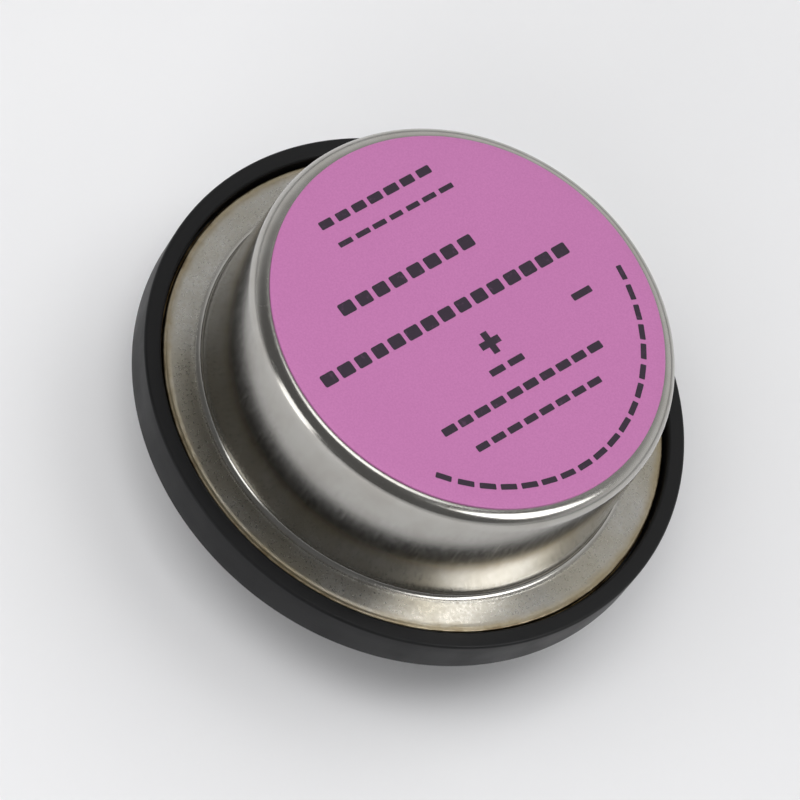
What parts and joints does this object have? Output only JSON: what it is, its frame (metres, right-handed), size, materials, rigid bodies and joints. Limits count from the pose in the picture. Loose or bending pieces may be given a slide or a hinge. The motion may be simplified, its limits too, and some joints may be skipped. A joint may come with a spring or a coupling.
{
  "type": "flat round primary cell with pins",
  "caption": "Flat round lithium cell: hat-shaped steel can with a printed end label, its flange in a black plastic cup, on round solder pins.",
  "frame": {"origin": "on the cell's axis in the seating plane, which is the underside of the black cup", "axes": "+Z along the cell's axis towards the labelled end face; +X from the positive pin towards the negative pin; pins point along -Z"},
  "size_m": [0.0228, 0.0228, 0.0117],
  "materials": {
    "nickel_plated_steel": "satin nickel plate over drawn steel",
    "label_film": "printed self-adhesive film, soft sheen",
    "black_plastic": "moulded, soft sheen",
    "potting": "cured resin",
    "seal_glass": "fused bead",
    "pin_metal": "nickel-iron, tinned tail",
    "lithium": "soft matt metal",
    "nickel_grid": "perforated nickel",
    "porous_carbon": "matt pressed carbon",
    "glass_fibre": "white non-woven",
    "insulator": "moulded fluoropolymer"
  },
  "bodies": {
    "root": {"cell_can": "nickel_plated_steel", "printed_label": "label_film", "cell_cover": "nickel_plated_steel", "insulating_cup": "black_plastic", "potting_resin": "potting", "seal_eyelet": "nickel_plated_steel", "glass_seal": "seal_glass", "positive_pin": "pin_metal", "negative_pin": "pin_metal", "fill_ball": "nickel_plated_steel", "fill_cap": "nickel_plated_steel", "anode_grid": "nickel_grid", "lithium_anode": "lithium", "anode_separator": "glass_fibre", "cathode_separator": "glass_fibre", "cathode_upper": "porous_carbon", "cathode_grid": "nickel_grid", "cathode_lower": "porous_carbon", "cathode_sleeve": "glass_fibre", "cover_insulator": "glass_fibre", "support_ring": "insulator", "collector_tab": "nickel_grid"}
  },
  "joints": []
}
